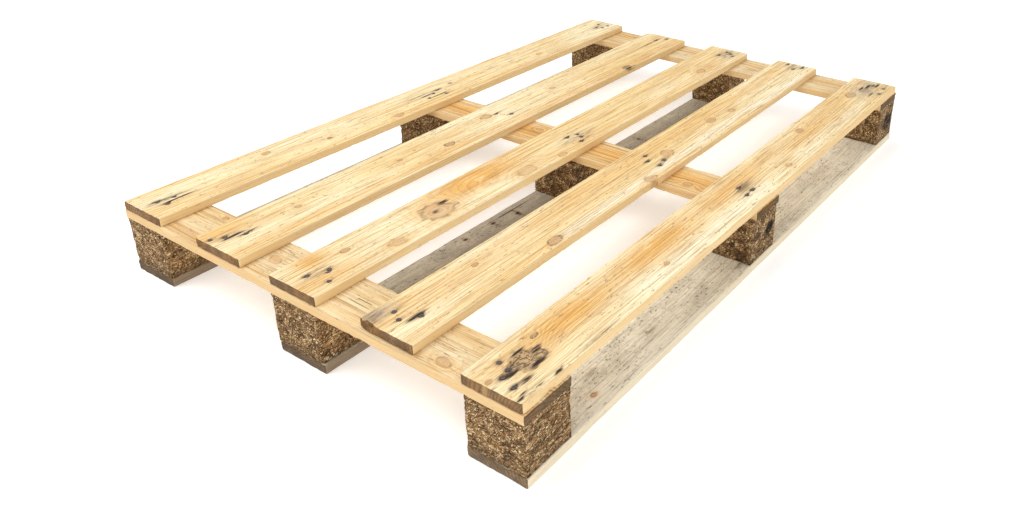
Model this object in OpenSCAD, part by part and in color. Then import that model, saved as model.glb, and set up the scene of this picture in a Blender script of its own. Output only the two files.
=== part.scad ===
// Four-way block pallet of 1200 x 800 mm: five deck boards on three cross boards,
// nine pressed-wood blocks and three runners, all nailed together.
// X runs along the deck boards, with the front end at -X. Y runs across them, with
// the left side at +Y. Z is up and the runners stand on Z = 0.

/* [Overall] */
// Length of the pallet along X
pallet_length = 1200; // [1000:10:1400]
// Width of the pallet along Y
pallet_width = 800; // [760:10:1000]

/* [Deck boards] */
// Thickness of the deck boards
deck_t = 14; // [12:1:22]
// Width of the outer left deck board
outer_left_w = 96; // [86:1:104]
// Width of the inner left deck board
inner_left_w = 105; // [86:1:106]
// Width of the centre deck board
centre_w = 95; // [86:1:104]
// Width of the inner right deck board
inner_right_w = 95; // [86:1:104]
// Width of the outer right deck board
outer_right_w = 94; // [86:1:104]
// How far the worn bevel on a deck board's front corner bites into its edge
wane_depth = 7; // [2:0.5:9]
// Length of that bevel along the board
wane_length = 170; // [60:10:300]

/* [Cross boards] */
// Thickness of the cross boards
cross_t = 14; // [12:1:22]
// Width of the front cross board
cross_front_w = 86; // [80:1:100]
// Width of the middle cross board
cross_middle_w = 80; // [76:1:100]
// Width of the rear cross board
cross_rear_w = 90; // [80:1:100]

/* [Blocks] */
// Size of a block along X
block_x = 85; // [80:1:100]
// Size of a block along Y
block_y = 93; // [90:1:110]
// Height of a block
block_z = 78; // [70:1:100]
// How far the left blocks stand in from the pallet's side
block_inset = 3; // [1:0.5:6]

/* [Runners] */
// Thickness of the runners
runner_t = 15; // [12:1:22]
// Width of the runners
runner_w = 95; // [90:1:110]

/* [Nails] */
// Diameter of a nail's shank
nail_d = 3; // [2.2:0.1:3.6]
// Diameter of a nail's head
nail_head_d = 6.6; // [5:0.1:8]
// Thickness of a nail's head
nail_head_t = 1.2; // [0.8:0.1:1.6]
// How deep the heads are driven below the wood
nail_sink = 0.8; // [0.2:0.1:1.2]
// Length of the nails that hold the deck to the blocks
deck_nail_l = 70; // [55:1:72]
// Length of the nails that hold the runners to the blocks
runner_nail_l = 45; // [38:1:45]
// Length of the bent-over end of a clinched nail
clinch_l = 13; // [8:1:18]

/* [Hidden] */
$fn = 32;
half_l = pallet_length / 2;
half_w = pallet_width / 2;

block_z0 = runner_t;
cross_z0 = block_z0 + block_z;
deck_z0 = cross_z0 + cross_t;
deck_top = deck_z0 + deck_t;

// The outer deck boards stand in a little from the sides, as they lie slightly askew.
outer_left_gap = 4;
outer_right_gap = 2;
// Middle lines of the inner deck boards, as a share of half the pallet's width.
inner_left_share = 0.41;
inner_right_share = -0.435;
outer_left_y = half_w - outer_left_gap - outer_left_w / 2;
outer_right_y = -half_w + outer_right_gap + outer_right_w / 2;
inner_left_y = half_w * inner_left_share;
centre_y = -2;
inner_right_y = half_w * inner_right_share;

// Deck boards, left to right: middle line, width, front set-back, rear set-back, and
// how much further to the left the rear end lies than the front end.
outer_left = [outer_left_y, outer_left_w, 1, 1, -4.5];
inner_left = [inner_left_y, inner_left_w, 1, 8, 2.5];
centre = [centre_y, centre_w, 1.5, 1, -1.5];
inner_right = [inner_right_y, inner_right_w, 5, 1.5, 3];
outer_right = [outer_right_y, outer_right_w, 1, 3, -2];
DECK = [outer_left, inner_left, centre, inner_right, outer_right];

function board_y(board) = board[0];
function board_w(board) = board[1];
function front_gap(board) = board[2];
function rear_gap(board) = board[3];
function askew(board) = board[4];

// Middle lines of the cross boards, front to rear.
cross_front_x = -half_l + cross_front_w / 2;
cross_middle_x = -2;
cross_rear_x = half_l - cross_rear_w / 2;

// Block and runner centres. The right blocks stand almost flush with the side.
right_block_inset = 1;
block_front_x = -half_l + block_x / 2;
block_middle_x = -9;
block_rear_x = half_l - block_x / 2;
block_left_y = half_w - block_inset - block_y / 2;
block_centre_y = -1;
block_right_y = -half_w + right_block_inset + block_y / 2;
runner_left_y = half_w - runner_w / 2;
runner_centre_y = -3.5;
runner_right_y = -half_w + runner_w / 2;

// Nails in the deck as [along X, along Y] from the centre of the crossing of a deck
// board with a cross board, left board to right board.
FRONT_NAILS = [
    [[-13, 8], [-6, -9], [12, 4]],
    [[-15, 16], [8, 1], [-32, 26]],
    [[-12, 5], [8, -11], [16, -6], [-3, -29]],
    [[-1, 22], [-9, 5], [13, -12]],
    [[0, 25], [-4, 8], [-18, 4], [-23, -18]]
];
MIDDLE_NAILS = [
    [[18, 6], [1, -3], [-21, -15], [18, -22]],
    [[-4, 10], [13, -13]],
    [[12, -6], [-11, 0], [8, -18], [-6, -29]],
    [[8, 16], [-7, 1], [14, -19], [-7, -24]],
    [[-4, 5], [4, -16], [-17, -17]]
];
REAR_NAILS = [
    [[19, 8], [-7, -5], [2, -18], [22, -18]],
    [[-3, 8], [22, -7]],
    [[-7, 1], [23, -4], [16, -18], [6, -28]],
    [[31, 18], [11, -3], [29, -17]],
    [[17, -6], [13, -30], [-20, -33]]
];
// Deck boards that lie over blocks take straight nails; the two between take nails
// that come out under the cross board and are bent over.
OVER_BLOCKS = [0, 2, 4];
OVER_GAPS = [1, 3];
RUNNER_NAILS = [[-20, 18], [3, -22], [22, 12]];

// Length of a nail's point, the width left at its very end, and the radius of the bend
// in a clinched nail.
nail_tip = 4;
nail_point_d = 0.6;
clinch_r = 2;
// How far the tools that cut the recesses over sunk heads reach above the wood.
recess_over = 1;
// Width of the tool that cuts a worn bevel, and how far it reaches past the corner.
wane_tool_w = 60;
wane_over = 20;

deck_wood = [0.87, 0.76, 0.55];
cross_wood = [0.84, 0.70, 0.47];
runner_wood = [0.66, 0.60, 0.50];
pressed_wood = [0.45, 0.33, 0.22];
steel = [0.36, 0.33, 0.31];

// A nail pointing down from the top of its head at the origin. With "above", the
// head goes on upwards, which cuts the recess over a sunk head.
module nail(length, above = 0) {
    rotate_extrude()
        polygon([
            [0, above],
            [nail_head_d / 2, above],
            [nail_head_d / 2, -nail_head_t],
            [nail_d / 2, -nail_head_t],
            [nail_d / 2, -length + nail_tip],
            [nail_point_d / 2, -length],
            [0, -length]
        ]);
}

// A nail whose end leaves the wood "grip" below its head and is bent over along -Y.
module clinched_nail(grip) {
    rotate_extrude()
        polygon([
            [0, 0],
            [nail_head_d / 2, 0],
            [nail_head_d / 2, -nail_head_t],
            [nail_d / 2, -nail_head_t],
            [nail_d / 2, -grip],
            [0, -grip]
        ]);
    translate([0, -clinch_r, -grip])
        rotate([0, 90, 0])
            rotate_extrude(angle = 90)
                clinch_section();
    translate([0, -clinch_r, -grip - clinch_r])
        rotate([90, 0, 0])
            rotate_extrude()
                polygon([
                    [0, 0],
                    [nail_d / 2, 0],
                    [nail_d / 2, clinch_l - nail_tip],
                    [nail_point_d / 2, clinch_l],
                    [0, clinch_l]
                ]);
}

module clinch_section() {
    translate([clinch_r, 0])
        circle(d = nail_d);
}

// Puts its children at each deck nail of one cross board, on the given deck boards.
module at_deck_nails(cross_x, nails, boards) {
    for (board = boards)
        for (spot = nails[board])
            translate([cross_x + spot[0], board_y(DECK[board]) + spot[1], deck_top - nail_sink])
                children();
}

// The holes that the deck nails of one cross board leave in the wood.
module deck_nail_holes(cross_x, nails) {
    at_deck_nails(cross_x, nails, OVER_BLOCKS)
        nail(deck_nail_l, nail_sink + recess_over);
    at_deck_nails(cross_x, nails, OVER_GAPS)
        nail(deck_nail_l, nail_sink + recess_over);
}

module all_deck_nail_holes() {
    deck_nail_holes(cross_front_x, FRONT_NAILS);
    deck_nail_holes(cross_middle_x, MIDDLE_NAILS);
    deck_nail_holes(cross_rear_x, REAR_NAILS);
}

// Puts its children at each nail of one runner, pointing up from the underside.
module at_runner_nails(runner_y) {
    for (x = [block_front_x, block_middle_x, block_rear_x])
        for (spot = RUNNER_NAILS)
            translate([x + spot[0], runner_y + spot[1], nail_sink])
                rotate([180, 0, 0])
                    children();
}

// Bevel worn along the upper edge of a deck board from its front corner, running out
// to nothing. "side" is 1 on the left edge and -1 on the right edge.
module wane(board, side) {
    bite = wane_depth / sqrt(2);
    edge_y = board_y(board) + side * board_w(board) / 2;
    translate([-half_l + front_gap(board), edge_y, deck_top])
        rotate([side * -45, 0, 0])
            translate([0, 0, -bite])
                rotate([0, -atan(bite / wane_length), 0])
                    translate([-wane_over, -wane_tool_w / 2, 0])
                        cube([wane_length + wane_tool_w, wane_tool_w, wane_tool_w / 2]);
}

module deck_board(board) {
    length = pallet_length - front_gap(board) - rear_gap(board);
    middle_x = (front_gap(board) - rear_gap(board)) / 2;
    color(deck_wood)
        difference() {
            translate([middle_x, board_y(board), deck_z0 + deck_t / 2])
                rotate([0, 0, atan(askew(board) / length)])
                    cube([length, board_w(board), deck_t], center = true);
            all_deck_nail_holes();
            children();
        }
}

module deck_outer_left() {
    deck_board(outer_left);
}

module deck_inner_left() {
    deck_board(inner_left)
        wane(inner_left, 1);
}

module deck_centre() {
    deck_board(centre);
}

module deck_inner_right() {
    deck_board(inner_right);
}

module deck_outer_right() {
    deck_board(outer_right)
        wane(outer_right, -1);
}

module cross_board(x, width, nails) {
    color(cross_wood)
        difference() {
            translate([x - width / 2, -half_w, cross_z0])
                cube([width, pallet_width, cross_t]);
            deck_nail_holes(x, nails);
        }
}

module cross_front() {
    cross_board(cross_front_x, cross_front_w, FRONT_NAILS);
}

module cross_middle() {
    cross_board(cross_middle_x, cross_middle_w, MIDDLE_NAILS);
}

module cross_rear() {
    cross_board(cross_rear_x, cross_rear_w, REAR_NAILS);
}

module block(x, y, runner_y, cross_x, nails) {
    color(pressed_wood)
        difference() {
            translate([x - block_x / 2, y - block_y / 2, block_z0])
                cube([block_x, block_y, block_z]);
            at_deck_nails(cross_x, nails, OVER_BLOCKS)
                nail(deck_nail_l);
            at_runner_nails(runner_y)
                nail(runner_nail_l);
        }
}

module block_row(x, cross_x, nails, place) {
    if (place == "left")
        block(x, block_left_y, runner_left_y, cross_x, nails);
    if (place == "centre")
        block(x, block_centre_y, runner_centre_y, cross_x, nails);
    if (place == "right")
        block(x, block_right_y, runner_right_y, cross_x, nails);
}

module front_block(place) {
    block_row(block_front_x, cross_front_x, FRONT_NAILS, place);
}

module middle_block(place) {
    block_row(block_middle_x, cross_middle_x, MIDDLE_NAILS, place);
}

module rear_block(place) {
    block_row(block_rear_x, cross_rear_x, REAR_NAILS, place);
}

module block_front_left() {
    front_block("left");
}

module block_front_centre() {
    front_block("centre");
}

module block_front_right() {
    front_block("right");
}

module block_middle_left() {
    middle_block("left");
}

module block_middle_centre() {
    middle_block("centre");
}

module block_middle_right() {
    middle_block("right");
}

module block_rear_left() {
    rear_block("left");
}

module block_rear_centre() {
    rear_block("centre");
}

module block_rear_right() {
    rear_block("right");
}

module runner(y) {
    color(runner_wood)
        difference() {
            translate([-half_l, y - runner_w / 2, 0])
                cube([pallet_length, runner_w, runner_t]);
            at_runner_nails(y)
                nail(runner_nail_l, nail_sink + recess_over);
        }
}

module runner_left() {
    runner(runner_left_y);
}

module runner_centre() {
    runner(runner_centre_y);
}

module runner_right() {
    runner(runner_right_y);
}

module deck_nails(cross_x, nails) {
    color(steel)
        at_deck_nails(cross_x, nails, OVER_BLOCKS)
            nail(deck_nail_l);
}

module deck_nails_front() {
    deck_nails(cross_front_x, FRONT_NAILS);
}

module deck_nails_middle() {
    deck_nails(cross_middle_x, MIDDLE_NAILS);
}

module deck_nails_rear() {
    deck_nails(cross_rear_x, REAR_NAILS);
}

module clinched_nails(cross_x, nails) {
    color(steel)
        at_deck_nails(cross_x, nails, OVER_GAPS)
            clinched_nail(deck_t + cross_t - nail_sink);
}

module clinched_nails_front() {
    clinched_nails(cross_front_x, FRONT_NAILS);
}

module clinched_nails_middle() {
    clinched_nails(cross_middle_x, MIDDLE_NAILS);
}

module clinched_nails_rear() {
    clinched_nails(cross_rear_x, REAR_NAILS);
}

module runner_nails(y) {
    color(steel)
        at_runner_nails(y)
            nail(runner_nail_l);
}

module runner_nails_left() {
    runner_nails(runner_left_y);
}

module runner_nails_centre() {
    runner_nails(runner_centre_y);
}

module runner_nails_right() {
    runner_nails(runner_right_y);
}

deck_outer_left();
deck_inner_left();
deck_centre();
deck_inner_right();
deck_outer_right();
cross_front();
cross_middle();
cross_rear();
block_front_left();
block_front_centre();
block_front_right();
block_middle_left();
block_middle_centre();
block_middle_right();
block_rear_left();
block_rear_centre();
block_rear_right();
runner_left();
runner_centre();
runner_right();
deck_nails_front();
deck_nails_middle();
deck_nails_rear();
clinched_nails_front();
clinched_nails_middle();
clinched_nails_rear();
runner_nails_left();
runner_nails_centre();
runner_nails_right();
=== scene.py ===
"""The looks of a 1200 x 800 mm wooden block pallet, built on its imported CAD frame.

Every board and block is a fine grid of its own, shaped with worn edges, wane, splits and
nail dents. Broad features of the wood, such as growth rings bent round knots and stains
round nails, are stored on the grid's points, and the materials add the fine grain.
Lengths in this script are millimetres until they are written to a mesh.
"""

import bpy
import numpy as np
from mathutils import Matrix, Vector


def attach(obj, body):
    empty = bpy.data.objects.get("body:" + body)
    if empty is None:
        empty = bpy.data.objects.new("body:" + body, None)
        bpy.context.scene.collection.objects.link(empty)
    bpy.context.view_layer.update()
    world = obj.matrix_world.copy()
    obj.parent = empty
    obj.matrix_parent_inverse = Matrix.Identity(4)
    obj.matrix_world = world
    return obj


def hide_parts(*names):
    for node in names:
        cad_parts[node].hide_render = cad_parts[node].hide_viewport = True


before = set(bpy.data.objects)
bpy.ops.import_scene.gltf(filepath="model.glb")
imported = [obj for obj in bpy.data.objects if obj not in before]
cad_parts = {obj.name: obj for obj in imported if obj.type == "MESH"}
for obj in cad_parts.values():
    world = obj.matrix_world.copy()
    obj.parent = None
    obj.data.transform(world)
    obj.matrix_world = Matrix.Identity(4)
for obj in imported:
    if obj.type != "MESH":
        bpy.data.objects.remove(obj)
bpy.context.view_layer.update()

MM = 0.001

# -------- repeatable noise

# Whole numbers that mix a cell's place and a seed into one repeatable random number.
HASH_PLACE = (374761393, 668265263, 1440662683)
HASH_SEED = 974711
HASH_MIX = 1274126177


def lattice_hash(cell, seed):
    """A number from 0 to 1 for each whole-numbered cell, always the same."""
    mixed = cell[:, 0] * HASH_PLACE[0] + cell[:, 1] * HASH_PLACE[1] + cell[:, 2] * HASH_PLACE[2]
    mixed = (mixed + seed * HASH_SEED) & 0xFFFFFFFF
    mixed = ((mixed ^ (mixed >> 13)) * HASH_MIX) & 0xFFFFFFFF
    return ((mixed ^ (mixed >> 16)) & 0xFFFF) / 0xFFFF


def noise(u, v, w, seed):
    """Smooth noise from 0 to 1 at points whose coordinates are in noise cells."""
    u, v, w = np.broadcast_arrays(u, v, w)
    points = np.column_stack([u.ravel(), v.ravel(), w.ravel()]).astype(float)
    cell = np.floor(points).astype(np.int64)
    part = points - cell
    part = part * part * (3.0 - 2.0 * part)
    total = np.zeros(len(points))
    for corner in range(8):
        step = np.array([corner & 1, corner >> 1 & 1, corner >> 2 & 1])
        weight = np.prod(np.where(step == 1, part, 1.0 - part), axis=1)
        total += weight * lattice_hash(cell + step, seed)
    return total.reshape(u.shape)


def bell(distance):
    """1 at distance 0, and nearly 0 from a distance of 2 on."""
    return np.exp(-distance * distance)


def smooth_step(value):
    """0 below 0, 1 above 1, and a smooth rise between."""
    value = np.clip(value, 0.0, 1.0)
    return value * value * (3.0 - 2.0 * value)


# -------- grids and meshes

# How far the outermost grid lines lie from an edge, so that it can be rounded.
EDGE_LINES = (0.0, 0.5, 1.1, 2.0, 3.2)
TINY = 1e-9


def grid_lines(half, coarse, fine=None, spots=()):
    """Grid lines from -half to half, close together at the edges and in the spots,
    which are (centre, reach) pairs."""
    inner = half - EDGE_LINES[-1]
    lines = []
    place = -inner + coarse * 0.5
    while place < inner - coarse * 0.4:
        lines.append(place)
        close = any(abs(place - centre) < reach for centre, reach in spots)
        place += fine if close else coarse
    edges = [half - line for line in EDGE_LINES]
    return np.array(sorted([-edge for edge in edges] + lines + edges))


def box_grid(us, vs, ws):
    """The closed surface of a box with grid lines at the given places, as points
    and outward-facing quads."""
    shape = (len(us), len(vs), len(ws))
    outer = np.zeros(shape, bool)
    outer[[0, -1], :, :] = True
    outer[:, [0, -1], :] = True
    outer[:, :, [0, -1]] = True
    index = np.full(shape, -1)
    index[outer] = np.arange(outer.sum())
    at_u, at_v, at_w = np.nonzero(outer)
    points = np.column_stack([us[at_u], vs[at_v], ws[at_w]])
    quads = []
    for axis in range(3):
        for end in (0, -1):
            side = np.take(index, end, axis=axis)
            corners = [side[:-1, :-1], side[1:, :-1], side[1:, 1:], side[:-1, 1:]]
            quad = np.stack(corners, axis=-1).reshape(-1, 4)
            inward = (end == 0) != (axis == 1)
            quads.append(quad[:, ::-1] if inward else quad)
    return points, np.concatenate(quads)


def round_edges(points, half, radius):
    """Rounds a box's edges and corners by a radius given for each point."""
    radius = radius[:, None]
    inner = np.clip(points, -(half - radius), half - radius)
    away = points - inner
    length = np.linalg.norm(away, axis=1, keepdims=True)
    return inner + away / np.maximum(length, TINY) * np.minimum(radius, length)


def make_piece(node, points, quads, fields, material):
    """A mesh in place of a CAD node, with fields stored on its points."""
    mesh = bpy.data.meshes.new(node + "_piece")
    mesh.vertices.add(len(points))
    mesh.vertices.foreach_set("co", (points * MM).astype(np.float32).ravel())
    mesh.loops.add(quads.size)
    mesh.loops.foreach_set("vertex_index", quads.astype(np.int32).ravel())
    mesh.polygons.add(len(quads))
    mesh.polygons.foreach_set("loop_start", np.arange(0, quads.size, 4, dtype=np.int32))
    mesh.update(calc_edges=True)
    mesh.polygons.foreach_set("use_smooth", np.ones(len(quads), bool))
    for name, values in fields.items():
        values = np.asarray(values, np.float32)
        kind, key = ("FLOAT", "value") if values.ndim == 1 else ("FLOAT_VECTOR", "vector")
        store = mesh.attributes.new(name, kind, "POINT")
        store.data.foreach_set(key, values.ravel())
    mesh.validate()
    mesh.materials.append(material)
    piece = bpy.data.objects.new(node + "_piece", mesh)
    bpy.context.scene.collection.objects.link(piece)
    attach(piece, "root")
    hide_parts(node)
    return piece


# -------- reading the frame

# Points this close to a nail node's top level belong to its heads, and head points
# nearer to each other than HEAD_REACH belong to one head.
HEAD_LEVEL = 0.05
HEAD_REACH = 7.0
# Points this close to a board's underside and to its ends show how it lies.
UNDERSIDE_LEVEL = 0.1
END_SLICE = 1.2


def node_points(node):
    """A CAD node's mesh points in millimetres."""
    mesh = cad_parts[node].data
    flat = np.empty(len(mesh.vertices) * 3, np.float32)
    mesh.vertices.foreach_get("co", flat)
    return flat.reshape(-1, 3).astype(float) / MM


def nail_places(nodes, side):
    """Centres of the nail heads in some nodes. side is 1 for heads on top of the
    wood and -1 for heads on its underside."""
    places = []
    for node in nodes:
        points = node_points(node)
        level = (points[:, 2] * side).max()
        heads = points[points[:, 2] * side > level - HEAD_LEVEL]
        while len(heads):
            near = np.hypot(*(heads[:, :2] - heads[0, :2]).T) < HEAD_REACH
            low, high = heads[near, :2].min(axis=0), heads[near, :2].max(axis=0)
            places.append((low + high) / 2)
            heads = heads[~near]
    return np.array(places)


def board_place(node, along):
    """Where a board lies: its middle, its half sizes, and how far its centre line
    leans sideways from one end to the other. Its grain runs along X or Y."""
    points = node_points(node)
    low, high = points.min(axis=0), points.max(axis=0)
    u, v = (0, 1) if along == "x" else (1, 0)
    bottom = points[points[:, 2] < low[2] + UNDERSIDE_LEVEL]
    first = bottom[bottom[:, u] < low[u] + END_SLICE][:, v]
    last = bottom[bottom[:, u] > high[u] - END_SLICE][:, v]
    start = (first.min() + first.max()) / 2
    end = (last.min() + last.max()) / 2
    middle = np.array([(low[u] + high[u]) / 2, (start + end) / 2, (low[2] + high[2]) / 2])
    half = np.array([high[u] - low[u], first.max() - first.min(), high[2] - low[2]]) / 2
    return {"along": along, "middle": middle, "half": half, "lean": end - start}


def to_row_frame(local, place):
    """Turns a board's own coordinates into the row frame."""
    u, v, w = (local + place["middle"]).T
    v = v + place["lean"] * local[:, 0] / (2 * place["half"][0])
    return np.column_stack([u, v, w] if place["along"] == "x" else [v, u, w])


def to_board(x, y, place):
    """Turns a spot in the row frame into a board's own coordinates."""
    u, v = (x, y) if place["along"] == "x" else (y, x)
    u = u - place["middle"][0]
    lean = place["lean"] * u / (2 * place["half"][0])
    return u, v - place["middle"][1] - lean


# -------- wood

# How far round a knot the rings bend, and how strongly, in knot radii.
KNOT_BEND = 1.9
# The knot distance, in knot radii, where no knot is nearer.
NO_KNOT = 4.0
# The pith's wandering across and through a board, and the length of one wave.
PITH_WANDER = (9, 16)
PITH_WAVE = (260, 340)
# A nail's stain: the reach of the patch round it, along and across, and the reach
# across of the streak along the grain.
STAIN_PATCH = (9.0, 4.4)
STAIN_STREAK = 2.4
# The streak's shortest reach along the grain, and how much more it can be.
STREAK_LENGTHS = (12, 18)
# How much wider than stated the soft edge of a smear reaches, along and across.
SMEAR_SPREAD = (1.35, 1.15)
# How much of a stain shows on the sides and on the far face.
STAIN_BEHIND = 0.25
# Pale strips of sapwood: how far they fade at the ends, wander, and over what length.
SAP_FADE = 40
SAP_WANDER = 10
SAP_WAVE = 90
# Points this close to an end or a side count as part of it.
FACE_LEVEL = 0.6
# Steps that give each board a place of its own in the material's noise.
GRAIN_STEPS = (1370.0, 310.0, 170.0)


def bend_round_knots(u, v, rings, knots, seed):
    """Growth rings pushed aside by knots, the distance to the nearest knot in knot
    radii, and how dark that knot is."""
    wobble = noise(u / 9, v / 6, 0.0, seed + 5)
    nearest = np.full(len(u), NO_KNOT)
    tone = np.zeros(len(u))
    for knot_u, knot_v, radius, darkness, stretch in knots:
        gap = np.hypot((u - knot_u) / stretch, v - knot_v) / radius
        rings = rings + KNOT_BEND * radius * bell(gap / KNOT_BEND)
        gap = gap * (0.8 + 0.4 * wobble)
        closer = gap < nearest
        nearest = np.where(closer, gap, nearest)
        tone = np.where(closer, darkness, tone)
    return rings, nearest, tone


def iron_stain(u, v, nails, strength, seed):
    """How strongly the wood is stained black by its nails: a patch round each head
    and a longer smear along the grain."""
    stain = np.zeros(len(u))
    shortest, longer = STREAK_LENGTHS
    for count, (nail_u, nail_v) in enumerate(nails):
        chance = lattice_hash(np.array([[count, 3, 7]]), seed)[0]
        smear = shortest + longer * chance
        drift = (chance - 0.5) * smear
        patch = bell(np.hypot((u - nail_u) / STAIN_PATCH[0], (v - nail_v) / STAIN_PATCH[1]))
        streak = bell(np.hypot((u - nail_u - drift) / smear, (v - nail_v) / STAIN_STREAK))
        stain = np.maximum(stain, np.maximum(0.8 * patch, 0.5 * streak))
    return stain * strength


def bands(v, places):
    """The strongest of some soft bands along the board, at each point."""
    value = np.zeros(len(v))
    for centre, width, strength in places:
        value = np.maximum(value, strength * bell((v - centre) / width))
    return value


def patches(u, v, places, spread=(1.0, 1.0)):
    """The strongest of some soft oval patches, at each point."""
    value = np.zeros(len(u))
    for middle_u, middle_v, length, width, strength in places:
        along = (u - middle_u) / (spread[0] * length)
        across = (v - middle_v) / (spread[1] * width)
        value = np.maximum(value, strength * bell(np.hypot(along, across)))
    return value


def sap_strips(u, v, strips, seed):
    """The strongest of some strips of pale sapwood, which wander a little."""
    value = np.zeros(len(u))
    for start, end, centre, width, strength in strips:
        taper = smooth_step((u - start) / SAP_FADE) * smooth_step((end - u) / SAP_FADE)
        drift = SAP_WANDER * (noise(u / SAP_WAVE, 0.0, 0.0, seed + 6) - 0.5)
        value = np.maximum(value, strength * taper * bell((v - centre - drift) / width))
    return value


def wood_fields(local, place, look, nails, nail_side):
    """What the wood material reads from each point of a board."""
    u, v, w = local.T
    seed = look["seed"]
    half = place["half"]
    wander_v = noise(u / PITH_WAVE[0], 0.5, 0.5, seed + 1) - 0.5
    wander_w = noise(u / PITH_WAVE[1], 2.5, 0.5, seed + 2) - 0.5
    pith_v = look["pith"][0] + PITH_WANDER[0] * wander_v
    pith_w = look["pith"][1] + PITH_WANDER[1] * wander_w
    rings = np.hypot(v - pith_v, w - pith_w)
    rings, knot, knot_tone = bend_round_knots(u, v, rings, look["knots"], seed)
    nailed = STAIN_BEHIND + (1 - STAIN_BEHIND) * np.clip(nail_side * w / half[2], 0, 1)
    upward = STAIN_BEHIND + (1 - STAIN_BEHIND) * np.clip(w / half[2], 0, 1)
    iron = iron_stain(u, v, nails, look["iron"], seed) * nailed
    smears = patches(u, v, look["smears"], SMEAR_SPREAD) * upward
    cut = (np.abs(u) > half[0] - FACE_LEVEL).astype(float)
    return {
        "grain": (local + seed * np.array(GRAIN_STEPS)) * MM,
        "rings": rings,
        "knot": knot,
        "knot_tone": knot_tone,
        "iron": np.maximum(iron, smears),
        "heart": np.maximum(bands(v, look["heart"]), patches(u, v, look["warm"])),
        "sap": sap_strips(u, v, look["sap"], seed),
        "grey": patches(u, v, look["grey"]),
        "cut": cut,
        "side": (np.abs(v) > half[1] - FACE_LEVEL) * (1 - cut),
    }


# -------- wear

# Radius of a board's edges, how much more it can be, and how much chips add to it.
EDGE_RADIUS = 0.8
EDGE_RADIUS_MORE = 1.0
EDGE_CHIPS = 7
SMALLEST_RADIUS = 0.5
# Depth of the unevenness of a board's top, sides and ends.
TOP_RIPPLE = 0.45
SIDE_WAVE = 0.4
END_WAVE = 1.1
# How far from an edge or end the wood is torn, frayed or uneven.
END_WAVE_REACH = 12
TEAR_REACH = 16
FRAY_REACH = 22
# The least thickness that wane leaves.
WANE_LEAVES = 2
# The dent round a nail: depth, outer radius, and width of its slope.
DENT_DEPTH = 1.5
DENT_RADIUS = 5.4
DENT_SLOPE = 1.9
# A crack's half width, how far it wanders, and how far off the wood moves with it.
CRACK_WIDTH = 0.75
CRACK_WANDER = 2.4
CRACK_PULL = 7


def end_taper(u, start, end, power):
    """1 along most of the way from start to end, running out to 0 at both."""
    middle, half_length = (start + end) / 2, abs(end - start) / 2
    return np.clip(1 - np.abs((u - middle) / half_length) ** power, 0, 1)


def soften_corner(shaped, half, end, side, size):
    """Rounds one corner of a board, seen from above."""
    past_u = end * shaped[:, 0] - (half[0] - size)
    past_v = side * shaped[:, 1] - (half[1] - size)
    inside = (past_u > 0) & (past_v > 0)
    square = np.maximum(past_u, past_v)
    round_off = np.where(inside, square / np.maximum(np.hypot(past_u, past_v), TINY), 1.0)
    shaped[:, 0] += end * past_u * (round_off - 1)
    shaped[:, 1] += side * past_v * (round_off - 1)
    return shaped


def sink_nails(local, height, nails, side):
    """Dents a board's face round its nail heads, deep enough to show them."""
    face = np.where(local[:, 2] * side > 0, 1.0, 0.0)
    for nail_u, nail_v in nails:
        gap = np.hypot(local[:, 0] - nail_u, local[:, 1] - nail_v)
        height = height - side * face * DENT_DEPTH * smooth_step((DENT_RADIUS - gap) / DENT_SLOPE)
    return height


def open_splits(local, shaped, splits, seed):
    """Cuts narrow cracks that follow the grain into a board's top face. Returns the
    shaped points and how deep in a crack each point lies, from 0 to 1."""
    inside = np.zeros(len(local))
    top = np.where(local[:, 2] > 0, 1.0, 0.0)
    for start, end, place_v, depth in splits:
        taper = end_taper(local[:, 0], start, end, 3)
        off = local[:, 1] - place_v
        wander = CRACK_WANDER * (noise(local[:, 0] / 30, 0.0, 0.0, seed + 40) - 0.5)
        shaped[:, 1] += wander * bell(off / CRACK_PULL)
        crack = taper * bell(off / CRACK_WIDTH) * top
        shaped[:, 2] -= depth * crack
        inside = np.maximum(inside, crack)
    return shaped, inside


def round_board(local, half, wear, seed):
    """Rounds a board's edges, more where they are chipped."""
    u, v, w = local.T
    corner = np.sign(v) * 2 + np.sign(w)
    radius = EDGE_RADIUS + EDGE_RADIUS_MORE * noise(u / 34, corner * 3.0, 0.0, seed + 11)
    chips = np.clip(noise(u / 11, corner * 5.0, v / 20, seed + 12) - 0.72, 0, 1)
    radius = np.clip(radius * wear + EDGE_CHIPS * chips, SMALLEST_RADIUS, half[2] * 0.9)
    return round_edges(local, half, radius)


def roughen_faces(local, shaped, half, seed):
    """Makes a board's top, sides and ends slightly uneven."""
    u, v, w = local.T
    top = np.where(w > 0, 1.0, 0.0)
    shaped[:, 2] -= top * (TOP_RIPPLE * noise(u / 70, v / 24, 0.0, seed + 13))
    side_wave = SIDE_WAVE * noise(u / 160, np.sign(v) * 4.0, w / 9, seed + 14)
    shaped[:, 1] -= side_wave * v / half[1]
    end_wave = END_WAVE * noise(v / 7, w / 4, np.sign(u) * 6.0, seed + 15)
    near_end = np.clip(np.abs(u) - half[0] + END_WAVE_REACH, 0, END_WAVE_REACH)
    shaped[:, 0] -= end_wave * near_end / END_WAVE_REACH * np.sign(u)
    return shaped


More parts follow.
